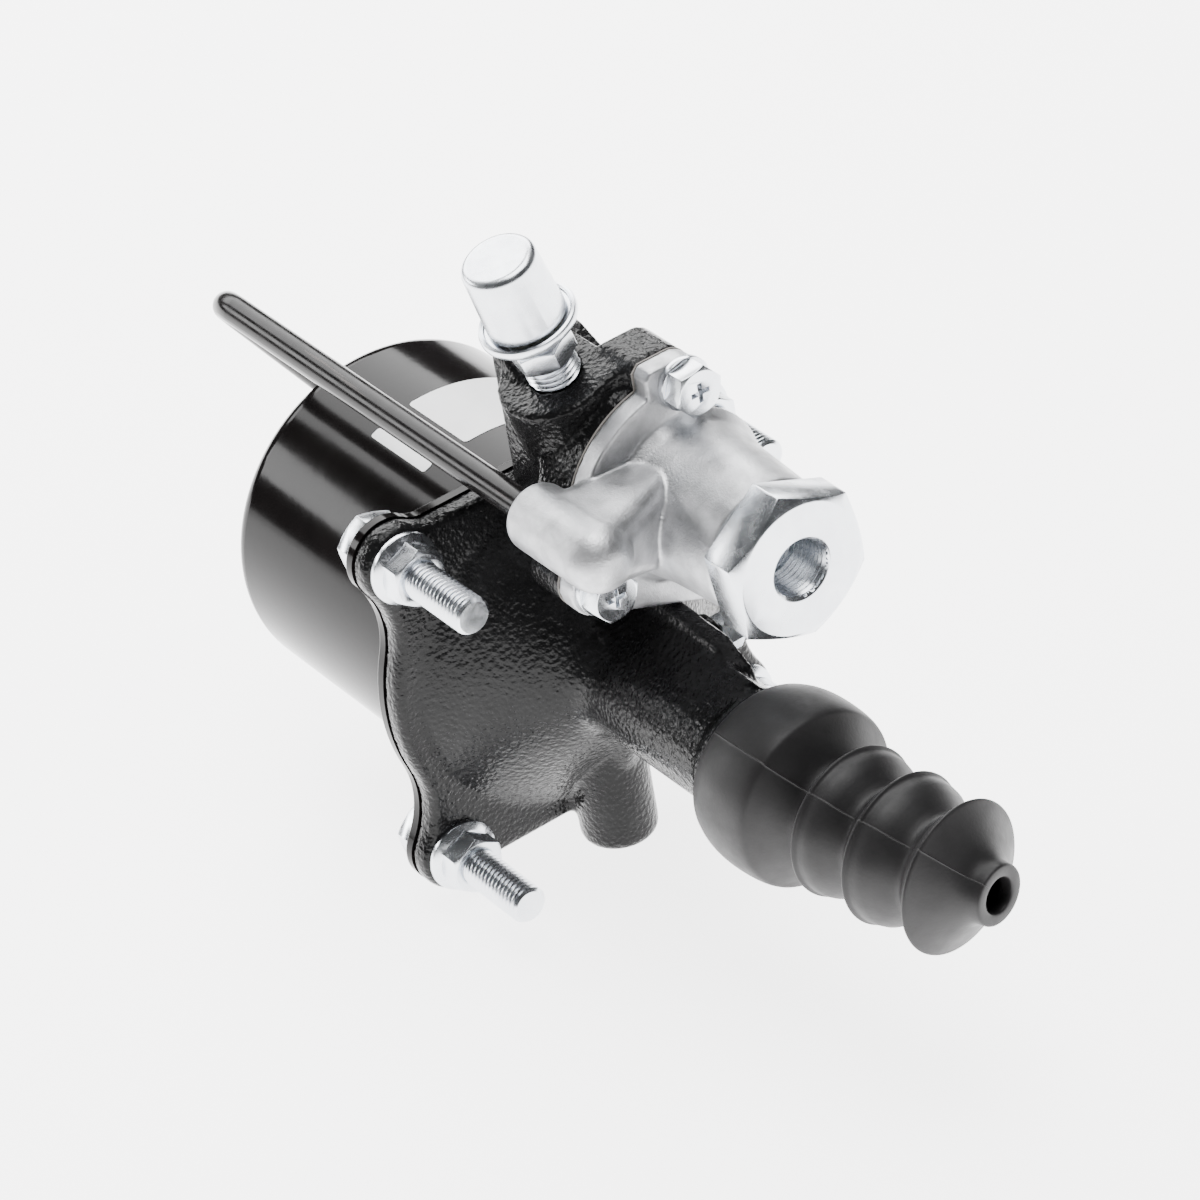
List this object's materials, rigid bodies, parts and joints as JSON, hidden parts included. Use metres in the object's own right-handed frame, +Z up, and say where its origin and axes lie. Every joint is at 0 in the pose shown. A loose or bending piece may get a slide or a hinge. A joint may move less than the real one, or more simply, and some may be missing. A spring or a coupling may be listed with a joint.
{
  "type": "air-assisted clutch slave cylinder",
  "caption": "Air-assisted clutch slave cylinder with a pressed steel air cylinder, a black cast housing, a control valve, a breather and a rubber boot.",
  "frame": {"origin": "on the cylinder's axis at the centre of the four flange bolts, in the plane of the front faces of the flange nuts, where the bracket lies", "axes": "+X forward along the cylinder towards the boot, +Z up towards the breather, +Y to the left"},
  "size_m": [0.2749, 0.11, 0.1865],
  "materials": {
    "shell_paint": "smooth gloss black paint",
    "housing_paint": "gloss black paint over a sand-cast surface",
    "pipe_paint": "semi-gloss black",
    "cast_aluminium": "bare cast aluminium",
    "machined_aluminium": "machined",
    "aluminium_washer": "soft, bare",
    "zinc_steel": "bright zinc plating, faintly blue",
    "zinc_sheet": "bright zinc plating on pressed sheet",
    "steel": "machined",
    "spring_steel": "oiled spring wire",
    "bronze": "sintered",
    "boot_rubber": "matte moulded rubber",
    "seal_rubber": "matte",
    "gasket_fibre": "pressed fibre",
    "felt": "pressed felt"
  },
  "bodies": {
    "housing": {"air_cylinder_shell": "shell_paint", "shell_seal_ring": "seal_rubber", "cast_housing": "housing_paint", "valve_cover": "cast_aluminium", "cover_gasket": "gasket_fibre", "inlet_plug": "zinc_steel", "plug_seal": "aluminium_washer", "air_pipe": "pipe_paint", "pipe_seal": "seal_rubber", "pipe_nut": "zinc_steel", "breather_body": "zinc_steel", "breather_cap": "zinc_sheet", "breather_filter": "felt", "flange_bolts": "zinc_steel", "flange_nuts": "zinc_steel", "cover_screws": "zinc_steel", "cover_washers": "zinc_steel", "boot": "boot_rubber", "rod_guide": "bronze", "rod_seal": "seal_rubber", "seal_retainer": "steel", "stop_ring": "spring_steel", "bleeder_screw": "zinc_steel", "bleeder_cap": "seal_rubber", "return_spring": "spring_steel", "valve_spring": "spring_steel", "poppet_spring": "spring_steel"},
    "power_piston_group": {"power_piston": "steel", "piston_cup": "seal_rubber", "clamp_disc": "steel", "rod_nut": "steel", "piston_rod": "steel", "slave_piston": "machined_aluminium", "slave_cup": "seal_rubber"},
    "relay_group": {"relay_piston": "machined_aluminium", "relay_cup": "seal_rubber", "valve_piston": "machined_aluminium", "valve_seal": "seal_rubber"},
    "poppet_valve": {"poppet": "seal_rubber"}
  },
  "joints": [
    {"name": "power_piston_slide", "type": "slide", "parent": "housing", "child": "power_piston_group", "axis": [1, 0, 0], "range_m": [0, 0.035], "stiffness_N_per_m": 900, "deforming": ["return_spring"]},
    {"name": "relay_slide", "type": "slide", "parent": "housing", "child": "relay_group", "axis": [1, 0, 0], "range_m": [0, 0.003], "stiffness_N_per_m": 400, "deforming": ["valve_spring"]},
    {"name": "poppet_slide", "type": "slide", "parent": "housing", "child": "poppet_valve", "axis": [1, 0, 0], "range_m": [0, 0.0018], "stiffness_N_per_m": 200, "deforming": ["poppet_spring"]}
  ],
  "couplings": [
    {"joint": "poppet_slide", "follows": "relay_slide", "ratio": 0.6}
  ]
}
